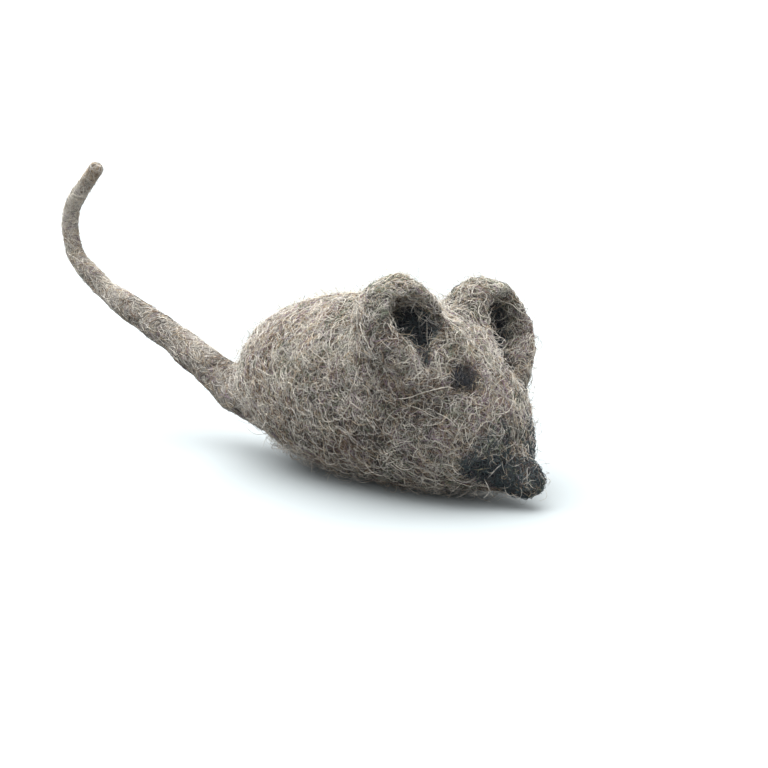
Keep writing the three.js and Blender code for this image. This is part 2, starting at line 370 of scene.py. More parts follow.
def felt_material(name, dark, middle, light, tint, sheen=0.3):
    """Matted wool: fine tangled mottling, broad patches of tint, and a bump of tangled fibres."""
    material, shader = new_material(name, 0.92, sheen)
    tree = material.node_tree
    nodes, links = tree.nodes, tree.links
    fine = noise_node(tree, 1500, 4)
    fine.inputs["Distortion"].default_value = 1.5
    ramp = nodes.new("ShaderNodeValToRGB")
    ramp.color_ramp.elements[0].position = 0.36
    ramp.color_ramp.elements[0].color = linear(dark)
    ramp.color_ramp.elements[1].position = 0.68
    ramp.color_ramp.elements[1].color = linear(light)
    ramp.color_ramp.elements.new(0.5).color = linear(middle)
    broad = noise_node(tree, 160, 2)
    edge = nodes.new("ShaderNodeMapRange")
    edge.inputs["From Min"].default_value = 0.45
    edge.inputs["From Max"].default_value = 0.7
    edge.inputs["To Max"].default_value = 0.7
    mix = nodes.new("ShaderNodeMix")
    mix.data_type = "RGBA"
    mix.blend_type = "MIX"
    mix.inputs["B"].default_value = linear(tint)
    strands = noise_node(tree, 2600, 3)
    strands.inputs["Distortion"].default_value = 2.5
    bump = nodes.new("ShaderNodeBump")
    bump.inputs["Strength"].default_value = 0.8
    bump.inputs["Distance"].default_value = 0.0002
    links.new(fine.outputs["Fac"], ramp.inputs["Fac"])
    links.new(broad.outputs["Fac"], edge.inputs["Value"])
    links.new(edge.outputs["Result"], mix.inputs["Factor"])
    links.new(ramp.outputs["Color"], mix.inputs["A"])
    links.new(mix.outputs["Result"], shader.inputs["Base Color"])
    links.new(strands.outputs["Fac"], bump.inputs["Height"])
    links.new(bump.outputs["Normal"], shader.inputs["Normal"])
    return material


def fibre_material(name, colour):
    """One wool fibre colour, with a roughness that varies along the fibres."""
    material, shader = new_material(name, 0.8, 0.25)
    shader.inputs["Base Color"].default_value = linear(colour)
    tree = material.node_tree
    noise = noise_node(tree, 900, 2)
    spread = tree.nodes.new("ShaderNodeMapRange")
    spread.inputs["To Min"].default_value = 0.6
    spread.inputs["To Max"].default_value = 0.95
    tree.links.new(noise.outputs["Fac"], spread.inputs["Value"])
    tree.links.new(spread.outputs["Result"], shader.inputs["Roughness"])
    return material


# The dark, middle and light of each felt's mottling, and its tint.
GREYS = (44, 39, 34), (82, 75, 68), (124, 116, 107), (78, 68, 56)
# The tail top's greys are paler copies of the tail's greys: painted light on the upper tail, which
# stands brighter and washed out.
TAIL_TOP_LIT_GREYS = (128, 122, 111), (170, 164, 152), (202, 196, 182), (140, 132, 116)
TAIL_GREYS = (88, 82, 75), (136, 130, 122), (172, 166, 158), (104, 94, 82)
BLACKS = (10, 12, 16), (20, 23, 30), (38, 42, 50), (16, 20, 26)
TANS = (108, 96, 84), (142, 130, 116), (172, 160, 144), (142, 122, 106)
GREY_FELT = felt_material("felt_grey", *GREYS)
TAIL_TOP_LIT_FELT = felt_material("felt_tail_top_lit", *TAIL_TOP_LIT_GREYS)
TAIL_FELT = felt_material("felt_tail", *TAIL_GREYS)
DARK_FELT = felt_material("felt_dark", *BLACKS, sheen=0.1)
TAN_FELT = felt_material("felt_tan", *TANS)

WOOL = {
    "cream": (229, 223, 210),
    "pale": (200, 195, 188),
    "beige": (187, 170, 146),
    "grey": (147, 145, 136),
    "brown": (121, 100, 81),
    "green": (124, 132, 110),
    "mauve": (148, 128, 140),
    "dark": (58, 52, 47),
    "black": (32, 38, 46),
    "blue": (54, 74, 78),
}
WOOL_NAMES = list(WOOL)
WOOL_MATERIALS = [fibre_material("wool_" + name, colour) for name, colour in WOOL.items()]


# ---------------------------------------------------------------- the body's form
def body_ends(points):
    """Fields of the body's rear and front halves, each right on its own side of X = 0."""
    x, y, z = points[..., 0], points[..., 1], points[..., 2]
    for length, (power, fullness) in ((REAR_LENGTH, REAR_TAPER), (FRONT_LENGTH, FRONT_TAPER)):
        station = np.abs(x) / length
        drop = MUZZLE_DROP * np.clip(x / FRONT_LENGTH, 0, 1.2) ** MUZZLE_DROP_POWER
        ring = np.hypot(y / HALF_WIDTH, (z - AXIS_HEIGHT + drop) / HALF_HEIGHT)
        yield np.maximum(ring, 1e-3) ** (1 / fullness) + station**power - 1


grid = Grid(GRID_LOW, GRID_HIGH, CELL)
space = grid.points
rear, front = (grid.distance(field) for field in body_ends(space))
body_field = np.where(space[..., 0] > 0, front, rear) + BODY_INSET
grid.roughen(body_field, (lumps, 9, 0.45), (crumbs, 3.2, 0.25))


def middle_of(node):
    """The middle of a CAD node's box, in millimetres."""
    low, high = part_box(node)
    return np.array((low + high) / 2) / MM


NOSE = middle_of("nose_tip")
EYES = {side: middle_of(side + "_eye") for side in EARS}
PATCHES = {side: middle_of(side + "_muzzle_patch") for side in EARS}

nose_field = grid.roughen(ellipsoid(space - NOSE, NOSE_RADII), (crumbs, 1.6, 0.3))
body_field = soft_min(body_field, nose_field + NOSE_INSET, NOSE_JOIN)
for centre in EYES.values():  # needling an eye in leaves a shallow dimple
    away = np.linalg.norm(space - centre, axis=-1)
    body_field += DIMPLE_DEPTH * np.exp(-((away / DIMPLE_RADIUS) ** 2))


# ---------------------------------------------------------------- the ears' forms
def ear_frame(side):
    """The ear's fold point, and the directions it faces, its fold line and its upright."""
    joint = JOINTS[side + "_ear_fold"]
    yaw, pitch = math.radians(EARS[side]["yaw"]), math.radians(EARS[side]["pitch"])
    flat = math.cos(pitch)
    facing = np.array([flat * math.cos(yaw), flat * math.sin(yaw), math.sin(pitch)])
    line = np.array(joint["axis"])
    upright = np.cross(facing, line)
    return np.array(joint["pos_m"]) / MM, np.stack([facing, line, upright / np.linalg.norm(upright)])


mouse_field = body_field
ears = {}
for side, ear in EARS.items():
    fold, axes = ear_frame(side)
    local = (space - fold) @ axes.T.astype(np.float32)
    centre = np.array([0, 0, ear["middle"]], np.float32)
    swell = np.where(local[..., :1] < 0, (1 / EAR_BACK, 1, 1), (1, 1, 1)).astype(np.float32)
    outside = ellipsoid((local - centre) * swell, EAR_RADII) + EAR_INSET
    outside = soft_max(outside, local[..., 1] - ear["reach"], REACH_ROUNDING)
    grid.roughen(outside, (lumps, 5, 0.45), (crumbs, 2.4, 0.25))
    bowl = ellipsoid(local - np.array(ear["bowl"][0], np.float32), ear["bowl"][1])
    for channel in ear["channels"]:
        bowl = soft_min(bowl, capsule(local, *channel), CHANNEL_JOIN)
    grid.roughen(bowl, (crumbs, 3, 0.35))
    ridge = grid.roughen(rod(local, ear["ridge"]), (lumps, 3, 0.35))
    cup = soft_min(soft_max(outside, -bowl, RIM_ROUNDING), ridge, RIDGE_JOIN)
    cup = soft_max(cup, -(bowl + RIDGE_CLEAR), CUT_ROUNDING)
    ears[side] = {
        "fold": fold,
        "axes": axes,
        "local": local,
        "bowl": bowl,
        "ridge": ridge,
        "crease": capsule(local, *ear["crease"]),
        "centre": centre,
        "hollow": np.array(ear["hollow"][0]),
        "hollow_radii": np.array(ear["hollow"][1]),
    }
    low = np.clip(-local[..., 2] / FOOT_HEIGHT, 0, 1)
    mouse_field = soft_min(mouse_field, cup, EAR_JOIN + ear["melt"] * low)
for ear in ears.values():  # the bowl stays deep where the ear meets the head, and ends in a crease
    for cut in (-(ear["bowl"] + HEAD_CLEAR), -ear["crease"]):
        mouse_field = soft_max(mouse_field, cut, CUT_ROUNDING)
        body_field = soft_max(body_field, cut, CUT_ROUNDING)

floor_field = -space[..., 2]
mouse_field = soft_max(mouse_field, floor_field, CUT_ROUNDING)
body_field = soft_max(body_field, floor_field, CUT_ROUNDING)
mouse = Surface(grid, soft_min(mouse_field, nose_field, CUT_ROUNDING))
EYES = {side: mouse.settle(centre[None], 6)[0][0] for side, centre in EYES.items()}

body_felt = make_object("body_felt", *skin(grid, body_field), [GREY_FELT])
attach(body_felt, "body")
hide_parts("body_fleece", "body_core")


def fold_with_ear(piece):
    """Bakes the piece's placement into its mesh."""
    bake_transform(piece)


for side, ear in ears.items():
    zone = ellipsoid(ear["local"] - ear["centre"], [r + EAR_ZONE for r in EAR_RADII])
    zone = np.minimum(zone, ear["ridge"] - RIDGE_ZONE)
    own = np.maximum(np.maximum(mouse_field + EAR_SINK, zone), -(body_field + ROOT_DEPTH))
    ear_felt = make_object(side + "_ear_felt", *skin(grid, own), [GREY_FELT])
    fold_with_ear(ear_felt)
    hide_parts(side + "_ear_flap", side + "_ear_root")
    # A dark felt sheet in the ear's hollow: dark wool at the deepest part, with painted shade of the
    # hollow round it.
    deep = grid.roughen(ellipsoid(ear["local"] - ear["hollow"], ear["hollow_radii"]), (lumps, 2, 0.8))
    outer = grid.roughen(mouse_field - LINING_AND_SHADE_RISE, (crumbs, 1.2, -0.15))
    sheet = np.maximum(np.maximum(outer, -(mouse_field + LINING_AND_SHADE_DEPTH)), deep)
    lining_and_shade = make_object(side + "_ear_lining_and_shade_felt", *skin(grid, sheet), [DARK_FELT])
    fold_with_ear(lining_and_shade)
    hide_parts(side + "_ear_lining")

# ---------------------------------------------------------------- nose, eyes and muzzle patches
nose_skin = skin(grid, soft_max(nose_field, floor_field, PATCH_ROUNDING))
nose = make_object("nose_felt", *nose_skin, [DARK_FELT])
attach(nose, "body")
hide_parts("nose_tip")


def needled_patch(name, node, centre, radii, rise):
    """A thin patch of dark wool that follows the surface, ragged at its edge."""
    spot, normal = mouse.settle(centre[None], 4)
    forward = np.array([1.0, 0, 0]) - normal[0] * normal[0][0]
    forward /= np.linalg.norm(forward)
    axes = np.stack([forward, np.cross(normal[0], forward), normal[0]])
    local = (space - spot[0]) @ axes.T.astype(np.float32)
    disc = grid.roughen(ellipsoid(local, (*radii, PATCH_REACH)), (crumbs, 1.3, 0.7))
    outer = grid.roughen(mouse_field - rise, (lumps, 1.1, -0.2))
    sheet = soft_max(outer, -(mouse_field + PATCH_DEPTH), 0.3)
    patch = make_object(name, *skin(grid, soft_max(sheet, disc, PATCH_ROUNDING)), [DARK_FELT])
    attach(patch, "body")
    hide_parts(node)


for side, eye in EYES.items():
    needled_patch(side + "_eye_felt", side + "_eye", eye, EYE_FELT_RADII, EYE_RISE)
    needled_patch(side + "_muzzle_felt", side + "_muzzle_patch", PATCHES[side], PATCH_RADII, MUZZLE_RISE)


# ---------------------------------------------------------------- the tail's form
TAIL_BENDS = ["wag", "lift", "bend", "bend_outer", "sway", "curl", "curl_outer"]
bends = [np.array(JOINTS["tail_" + name]["pos_m"])[[0, 2]] / MM for name in TAIL_BENDS]
stations = np.array([TAIL_START, *bends, TAIL_END], float)
LAST = len(stations) - 1


def tail_point(t):
    """Point of the tail's centreline, a centripetal Catmull-Rom curve through its stations."""
    place = t * LAST
    i = min(int(place), LAST - 1)
    w = place - i
    p1, p2 = stations[i], stations[i + 1]
    p0 = stations[i - 1] if i else 2 * p1 - p2
    p3 = stations[i + 2] if i + 2 <= LAST else 2 * p2 - p1
    d0, d1, d2 = (math.sqrt(math.dist(a, b)) for a, b in ((p0, p1), (p1, p2), (p2, p3)))
    m1 = ((p1 - p0) / d0 - (p2 - p0) / (d0 + d1) + (p2 - p1) / d1) * d1
    m2 = ((p2 - p1) / d1 - (p3 - p1) / (d1 + d2) + (p3 - p2) / d2) * d1
    x, z = p1 + m1 * w + (-3 * p1 + 3 * p2 - 2 * m1 - m2) * w**2 + (2 * p1 - 2 * p2 + m1 + m2) * w**3
    return x, 0.0, z


TAIL_SAMPLES = 801
tail_t = np.linspace(0, 1, TAIL_SAMPLES)
tail_line = np.array([tail_point(t) for t in tail_t])
tail_run = np.concatenate([[0], np.cumsum(np.linalg.norm(np.diff(tail_line, axis=0), axis=1))])
tail_along = np.gradient(tail_line, tail_run, axis=0)
tail_along /= np.linalg.norm(tail_along, axis=1, keepdims=True)
station_run = np.interp(np.arange(LAST + 1) / LAST, tail_t, tail_run)
TAIL_LENGTH = tail_run[-1]


def on_tail(run, angle, height=0.0):
    """Points and outward directions on the tail's felt, by distance along it and angle round it."""
    point = np.stack([np.interp(run, tail_run, column) for column in tail_line.T], -1)
    along = np.stack([np.interp(run, tail_run, column) for column in tail_along.T], -1)
    across = np.broadcast_to([0.0, 1.0, 0.0], along.shape)
    normal = np.cross(along, across)
    out = np.cos(angle)[..., None] * across + np.sin(angle)[..., None] * normal
    radius = np.interp(run, station_run, TAIL_RADII)
    bare = point + radius[..., None] * out
    radius = radius * (1 + 0.11 * lumps(bare, 5) + 0.08 * crumbs(bare, 2.5))
    end = np.clip((TAIL_LENGTH - run) / TAIL_RADII[-1], 0, 1)
    radius = radius * np.sqrt(np.clip(1 - (1 - end) ** 2, 0, 1))
    return point + (radius + height)[..., None] * out, out


def tail_piece(name, start, end, material):
    """A closed length of tail whose ends are rounded inside its neighbours."""
    sides, step, narrowing, reach = 40, 0.45, 0.12, 1.2
    runs = np.linspace(start, end, max(4, int((end - start) / step)))
    angles = np.linspace(0, 2 * math.pi, sides, endpoint=False)
    rings = on_tail(*np.meshgrid(runs, angles, indexing="ij"))[0]
    centres = rings.mean(1, keepdims=True)
    inset = 1 - narrowing * np.clip(1 - (runs - start) / reach, 0, 1)
    if end < TAIL_LENGTH:
        inset = inset - narrowing * np.clip(1 - (end - runs) / reach, 0, 1)
    rings = centres + (rings - centres) * inset[:, None, None]
    count = len(runs)
    index = np.arange(count * sides).reshape(count, sides)
    nxt = np.roll(index, -1, 1)
    walls = np.stack([index[:-1], nxt[:-1], nxt[1:], index[1:]], -1).reshape(-1, 4)
    tris = np.concatenate([walls[:, [0, 1, 2]], walls[:, [0, 2, 3]]])
    poles = np.concatenate([centres[0], centres[-1]])
    first, last = count * sides, count * sides + 1
    cap_a = np.stack([np.full(sides, first), nxt[0], index[0]], -1)
    cap_b = np.stack([np.full(sides, last), index[-1], nxt[-1]], -1)
    verts = np.concatenate([rings.reshape(-1, 3), poles])
    return make_object(name, verts, np.concatenate([tris, cap_a, cap_b]), [material])


TAIL_BODIES = ["body"] + [f"tail_{i}" for i in range(1, LAST)]


def bend_piece(piece):
    """Bakes the piece's placement into its mesh."""
    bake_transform(piece)


middles = (station_run[1:-1] + station_run[2:]) / 2  # of the lengths after each bending place
tip_start = TAIL_LENGTH - TAIL_TIP_LENGTH
tail_cuts = [0.5, *middles[:-1], tip_start]
OVERLAP = 0.8
FIRST_TOP_LENGTH = 6  # from here on the tail's felt is paler, painted light on the brighter, washed-out upper tail
for i in range(1, LAST):
    piece = tail_piece(
        f"tail_length_{i}",
        tail_cuts[i - 1] - (OVERLAP if i > 1 else 0),
        tail_cuts[i] + OVERLAP,
        TAIL_TOP_LIT_FELT if i >= FIRST_TOP_LENGTH else TAIL_FELT,
    )
    bend_piece(piece)
    stood_for = [f"tail_felt_{i}", f"tail_core_{i}"]
    if i == 1:
        stood_for += ["tail_collar", "tail_core_anchor"]
    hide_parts(*stood_for)
tip = tail_piece("tail_tip_felt", tip_start - OVERLAP, TAIL_LENGTH, TAN_FELT)
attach(tip, TAIL_BODIES[-1])
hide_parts("tail_tip")


# ---------------------------------------------------------------- fibres
rng = np.random.default_rng(11)
POINTS = 14  # along one fibre
FIBRES_PER_PIECE = 2400
FIBRE_DIP = 0.15  # how deep the ends of a lying fibre are sunk in


def scatter(verts, faces, count):
    """Random points spread evenly over four-sided faces."""
    a, b, c, d = (verts[faces[:, i]] for i in range(4))
    area = np.linalg.norm(np.cross(c - a, d - b), axis=1)
    pick = rng.choice(len(faces), count, p=area / area.sum())
    u, v = rng.random((2, count, 1))
    return (a[pick] * (1 - u) + b[pick] * u) * (1 - v) + (d[pick] * (1 - u) + c[pick] * u) * v


def wander(starts, lengths, curl):
    """Curly paths over the mouse, and the surface's outward direction along them."""
    count = len(starts)
    spot, normal = mouse.settle(starts)
    heading = rng.normal(size=(count, 3))
    bend, sway = rng.normal(0, curl, (2, count))
    phase, rate = rng.uniform(0, 2 * math.pi, count), rng.uniform(0.3, 1.1, count)
    step = (lengths / (POINTS - 1))[:, None]
    path, normals = [spot], [normal]
    for k in range(1, POINTS):
        heading = heading - normal * np.sum(heading * normal, 1, keepdims=True)
        heading /= np.maximum(np.linalg.norm(heading, axis=1, keepdims=True), 1e-6)
        turn = ((bend * 0.6 + sway * 1.6 * np.sin(phase + k * rate)) * step[:, 0])[:, None]
        heading = heading * np.cos(turn) + np.cross(normal, heading) * np.sin(turn)
        spot, normal = mouse.settle(spot + heading * step, 1)
        path.append(spot)
        normals.append(normal)
    return np.stack(path, 1), np.stack(normals, 1)


def lie(path, normals, height):
    """Lifts paths off the surface by up to their height, with both ends sunk in."""
    share = np.linspace(-1, 1, POINTS)
    arch = 1 - share**4
    wobble = np.sin(rng.uniform(0, 6.3, (len(path), 1)) + share * rng.uniform(2, 7, (len(path), 1)))
    lift = height[:, None] * (arch + 0.35 * wobble * arch) - FIBRE_DIP * share**4
    return path + normals * lift[..., None]


def stand(path, normals, height):
    """Paths that leave the surface at one end and curl over, as stray fibres do."""
    share = np.linspace(0, 1, POINTS)
    drift = rng.normal(0, 0.5, (len(path), 1, 3)) * height[:, None, None]
    over = np.sin(share * rng.uniform(1.3, 2.9, (len(path), 1)))
    rise = (height[:, None] * over - 0.1 * (1 - share) ** 3)[..., None]
    return path + normals[:, :1] * rise + drift * (share**2)[None, :, None]


def tubes(paths, normals, radii):
    """Corners and triangles of closed three-sided tubes along the paths."""
    paths = np.array(paths)
    paths[..., 2] = np.maximum(paths[..., 2], FLOOR_GAP)
    along = np.gradient(paths, axis=1)
    along /= np.maximum(np.linalg.norm(along, axis=2, keepdims=True), 1e-9)
    side = np.cross(along, normals)
    side /= np.maximum(np.linalg.norm(side, axis=2, keepdims=True), 1e-9)
    out = np.cross(side, along)
    taper = 1 - 0.6 * np.abs(np.linspace(-1, 1, POINTS)) ** 3
    size = (radii[:, None] * taper)[..., None]
    ring = [
        paths + size * (math.cos(a) * side + math.sin(a) * out)
        for a in (math.pi / 2, math.pi * 7 / 6, math.pi * 11 / 6)
    ]
    verts = np.stack(ring, 2).reshape(-1, 3)
    base = np.arange(len(paths) * POINTS * 3).reshape(len(paths), POINTS, 3)
    here, there = base[:, :-1], base[:, 1:]
    here_next, there_next = np.roll(here, -1, 2), np.roll(there, -1, 2)
    lower = np.stack([here, here_next, there_next], -1).reshape(len(paths), -1, 3)
    upper = np.stack([here, there_next, there], -1).reshape(len(paths), -1, 3)
    caps = np.stack([base[:, 0, ::-1], base[:, -1]], 1)
    return verts, np.concatenate([lower, upper, caps], 1)


def fibre_object(name, paths, normals, radii, colours, slot_name, fit):
    """Fibre pieces, split so that none grows too big. fit is called on each piece."""
    for part, first in enumerate(range(0, len(paths), FIBRES_PER_PIECE)):
        chosen = slice(first, first + FIBRES_PER_PIECE)
        verts, faces = tubes(paths[chosen], normals[chosen], radii[chosen])
        slots = np.repeat(colours[chosen], faces.shape[1])
        piece = make_object(f"{name}_{part + 1}", verts, faces.reshape(-1, 3), WOOL_MATERIALS, slots)
        fit(piece)


def pick_colours(points, shares, gains=None, tint_light_and_shade=()):
    """A colour number for each fibre. shares are mean amounts, gains tie them to broad patches, and
    the last argument holds (centre, radius, changes) for places with a tint of their own or with
    painted light or shade."""
    weight = np.zeros((len(points), len(WOOL_NAMES)))
    broad, second = patches(points, 7.0), tints(points, 5.0)
    for name, share in shares.items():
        first_gain, second_gain = (gains or {}).get(name, (0, 0))
        weight[:, WOOL_NAMES.index(name)] = share * np.exp(first_gain * broad + second_gain * second)
    for centre, radius, changes in tint_light_and_shade:
        near = np.exp(-((np.linalg.norm(points - centre, axis=1) / radius) ** 2))
        for name, change in changes.items():
            weight[:, WOOL_NAMES.index(name)] *= change**near
    weight /= weight.sum(1, keepdims=True)
    return (weight.cumsum(1) < rng.random((len(points), 1))).sum(1)


def in_eye(points, radius):
    """1 at the middle of either eye, falling to 0 a little outside the radius."""
    away = np.minimum.reduce([np.linalg.norm(points - centre, axis=1) for centre in EYES.values()])
    return np.exp(-((away / radius) ** 4))


def over_eye(paths, radius):
    """The most that any point of each path lies over an eye, from 0 to 1."""
    return in_eye(paths.reshape(-1, 3), radius).reshape(len(paths), POINTS).max(1)


EYE_DARK_RADIUS, NOSE_DARK_RADIUS = 2.5, 3.7
STREAK_RADII, HAZE_RADII = (1.8, 3.2), (5.5, 4.5, 5.5)
STREAK_SHARE, HAZE_SHARE, CREASE_SHADE_SHARE = 0.85, 0.34, 0.5


def dark_share(points):
    """How much of the wool at each point is dark: near the eyes, nose and muzzle, and in the ears, where
    it is partly painted shade.
    """
    share = in_eye(points, EYE_DARK_RADIUS)
    away = np.linalg.norm(points - NOSE, axis=1) / NOSE_DARK_RADIUS
    share = np.maximum(share, np.exp(-(away**4)))
    for centre in PATCHES.values():  # a streak along the muzzle into the nose, and a haze over it
        outer = 1 if centre[1] > 0 else -1
        start, end = centre + (-2.0, 1.6 * outer, 0.6), NOSE + (-1.5, 0.6 * outer, 0.6)
        streak = capsule(points, start, end, *STREAK_RADII)
        share = np.maximum(share, STREAK_SHARE * np.exp(-(np.maximum(streak + 0.4, 0) ** 2)))
        away = np.linalg.norm((points - centre - (1.2, -1.5 * outer, 4.5)) / HAZE_RADII, axis=1)
        share = np.maximum(share, HAZE_SHARE * np.exp(-(away**3)))
    for side, ear in ears.items():
        local = (points - ear["fold"]) @ ear["axes"].T
        # Dark wool in the ear's hollow: dark wool at the deepest part, painted shade round it.
        deep = np.linalg.norm((local - ear["hollow"]) / ear["hollow_radii"], axis=1)
        share = np.maximum(share, np.exp(-(deep**4)))
        # Darker wool along the ear's crease is painted shade in the crease.
        crease = capsule(local, *EARS[side]["crease"])
        share = np.maximum(share, CREASE_SHADE_SHARE * np.exp(-np.maximum(crease, 0) * 2))
    return share


# Amounts of each wool. Gains say how strongly they follow the two broad patterns of patches.
MAT = {
    "cream": 1.6,
    "pale": 1.9,
    "beige": 1.4,
    "grey": 1.8,
    "brown": 1.6,
    "green": 0.9,
    "mauve": 0.9,
    "dark": 1.8,
}
MAT_GAINS = {
    "cream": (0.8, 0),
    "pale": (0.8, 0),
    "beige": (0.2, -1.2),
    "brown": (-1.2, -1.2),
    "green": (-0.3, 1.8),
    "mauve": (0, -1.6),
    "dark": (-1.5, 0.5),
}
STRAYS = {"cream": 2.5, "pale": 2.5, "beige": 1.5, "grey": 1, "brown": 0.4}
LONG_WOOL = {"cream": 3, "pale": 1}
DARKS = {"black": 5, "blue": 3.0, "dark": 0.4}
MUZZLE_DARKS = {"black": 3.2, "blue": 5, "dark": 0.7, "green": 0.35}
EYE_DARKS = {"black": 3, "dark": 3}
# Places where the mix of wools changes: some for a tint of the wool, some as painted light or shade.
EYE_RING = {"cream": 2.2, "beige": 2.6, "brown": 1.5, "grey": 0.5}
CHEEK = {"cream": 0.4, "pale": 0.45, "beige": 0.6, "dark": 3.0, "brown": 1.6}
# Paler wool on the rump's top is painted light, where light from above falls fullest.
RUMP_LIGHT = {"cream": 1.8, "pale": 1.6, "beige": 1.3, "dark": 0.5}
BROW = {"cream": 2, "beige": 2.4, "dark": 0.5}
BRIDGE = {"mauve": 2, "dark": 1.8, "beige": 0.8, "cream": 0.55, "pale": 0.7}
CROWN = {"cream": 0.45, "pale": 0.6, "dark": 1.7, "mauve": 1.5}
# Darker, greener wool on the left ear's inner wall; its darkness is painted shade.
EAR_INSIDE_SHADE = {"cream": 0.25, "pale": 0.4, "dark": 3.0, "green": 1.8}
# Paler wool on the left ear's medial top is painted light on that lit face.
EAR_TOP_LIGHT = {"cream": 2.6, "pale": 1.6, "dark": 0.4}
TINT_LIGHT_AND_SHADE_PATCHES = [(centre, 5.5, EYE_RING) for centre in EYES.values()]
TINT_LIGHT_AND_SHADE_PATCHES += [((17, -17, 12), 13, CHEEK), ((17, 17, 12), 13, CHEEK), ((-22, 0, 28), 20, RUMP_LIGHT)]
TINT_LIGHT_AND_SHADE_PATCHES += [((27.5, -4, 31), 5, BROW), ((34, -2, 22), 8, BRIDGE), ((21, 2, 35), 9, CROWN)]
for spot, changes in (((3, 3, 0), EAR_INSIDE_SHADE), ((1, -6, 5), EAR_TOP_LIGHT)):  # in the left ear's frame
    TINT_LIGHT_AND_SHADE_PATCHES += [(ears["left"]["fold"] + ears["left"]["axes"].T @ spot, 5, changes)]


def which_piece(points):
    """0 for fibres rooted on the body, 1 on the right ear and 2 on the left."""
    place = np.zeros(len(points), int)
    for number, ear in enumerate(ears.values(), 1):
        local = (points - ear["fold"]) @ ear["axes"].T - ear["centre"]
        place[ellipsoid(local, [r + 1.5 for r in EAR_RADII]) < 0] = number
    return place


def lay_wool(name, paths, normals, radii, colours, slot_name="grey_wool"):
    """Splits fibres between the body and the ears by where their middles are."""
    place = which_piece(paths[:, POINTS // 2])
    fits = [lambda piece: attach(piece, "body")]
    fits += [lambda piece, side=side: fold_with_ear(piece) for side in EARS]
    for number, (owner, fit) in enumerate(zip(("body", "right_ear", "left_ear"), fits)):
        own = place == number
        if own.any():
            chosen = (part[own] for part in (paths, normals, radii, colours))
            fibre_object(f"{owner}_{name}", *chosen, slot_name, fit)


mouse_verts, mouse_faces = skin(grid, mouse_field)
MAT_COUNT, STRAY_COUNT, TAIL_COUNT, TAIL_STRAY_COUNT = 34_000, 10_000, 4600, 800
LONG_COUNT = 260
LONG_WOOL_GAP = 9  # from the nose's middle to the nearest long pale fibre
MUZZLE_REACH = 14  # from the nose's middle to the end of the bluer dark wool
DARK_COUNT = 90_000  # roots over the whole mouse, of which only those in dark places are kept

# The curly mat that covers the body and ears.
roots = scatter(mouse_verts, mouse_faces, MAT_COUNT)
roots = roots[rng.random(len(roots)) > 0.85 * dark_share(roots)]
lengths = np.clip(rng.lognormal(1.42, 0.38, len(roots)), 2, 10)
path, normals = wander(roots, lengths, 0.75)
middle = path[:, POINTS // 2]
clear = rng.random(len(path)) > np.maximum(0.88 * over_eye(path, 1.8), 0.7 * dark_share(middle))
path, normals = path[clear], normals[clear]
height = rng.uniform(0.02, 0.5, len(path)) ** 1.2
colours = pick_colours(path[:, POINTS // 2], MAT, MAT_GAINS, TINT_LIGHT_AND_SHADE_PATCHES)
radii = rng.uniform(0.045, 0.09, len(path))
lay_wool("wool", lie(path, normals, height), normals, radii, colours)

# Stray fibres that stand off the mat and fringe its outline.
roots = scatter(mouse_verts, mouse_faces, STRAY_COUNT)
roots = roots[(rng.random(len(roots)) > 0.9 * dark_share(roots)) & (roots[:, 2] > 1.0)]
path, normals = wander(roots, np.clip(rng.lognormal(1.2, 0.4, len(roots)), 1.5, 8), 0.8)
clear = over_eye(path, 1.9) < 0.5
path, normals = path[clear], normals[clear]
path = stand(path, normals, 0.3 + 1.9 * rng.random(len(path)) ** 2)
radii = rng.uniform(0.025, 0.05, len(path))
lay_wool("strays", path, normals, radii, pick_colours(path[:, 0], STRAYS))

# Long pale fibres that lie loose on top.
roots = scatter(mouse_verts, mouse_faces, LONG_COUNT)
roots = roots[(dark_share(roots) < 0.3) & (roots[:, 2] > 2)]
path, normals = wander(roots, rng.uniform(6, 13, len(roots)), 0.35)
off_nose = np.linalg.norm(path - NOSE, axis=2).min(1) > LONG_WOOL_GAP
clear = off_nose & (over_eye(path, 1.9) < 0.5)
path, normals = path[clear], normals[clear]
path = lie(path, normals, rng.uniform(0.45, 0.8, len(path)))
colours = pick_colours(path[:, 0], LONG_WOOL)
lay_wool("long_wool", path, normals, rng.uniform(0.06, 0.085, len(path)), colours)

# Dark wool needled into the eyes, the nose, the muzzle and the ears.
roots = scatter(mouse_verts, mouse_faces, DARK_COUNT)
roots = roots[rng.random(len(roots)) < 0.75 * dark_share(roots)]
path, normals = wander(roots, rng.uniform(1.6, 4.2, len(roots)), 0.8)
keep = dark_share(path[:, POINTS // 2]) > 0.12
path, normals = path[keep], normals[keep]
height = rng.uniform(0.15, 0.6, len(path))
colours = pick_colours(path[:, 0], DARKS)
on_muzzle = np.linalg.norm(path[:, 0] - NOSE, axis=1) < MUZZLE_REACH
colours[on_muzzle] = pick_colours(path[on_muzzle, 0], MUZZLE_DARKS)
at_eye = in_eye(path[:, 0], 3.2) > 0.5
colours[at_eye] = pick_colours(path[at_eye, 0], EYE_DARKS)
path = lie(path, normals, height)
radii = rng.uniform(0.05, 0.08, len(path))
lay_wool("dark_wool", path, normals, radii, colours, "dark_wool")

# ---------------------------------------------------------------- fibres on the tail
TAIL_WOOL = {
    "cream": 1.0,
    "pale": 1.6,
    "beige": 1.5,
    "grey": 1.7,
    "brown": 1.2,
    "mauve": 0.5,
    "dark": 1.2,
}
TAIL_GAINS = {
    "cream": (1.8, 0),
    "pale": (1.8, 0),
    "brown": (-2.4, -1),
    "dark": (-3.5, 0.8),
    "grey": (-1, 0),
}
TIP_WOOL = {"beige": 3, "pale": 2.2, "brown": 0.7, "grey": 0.7}
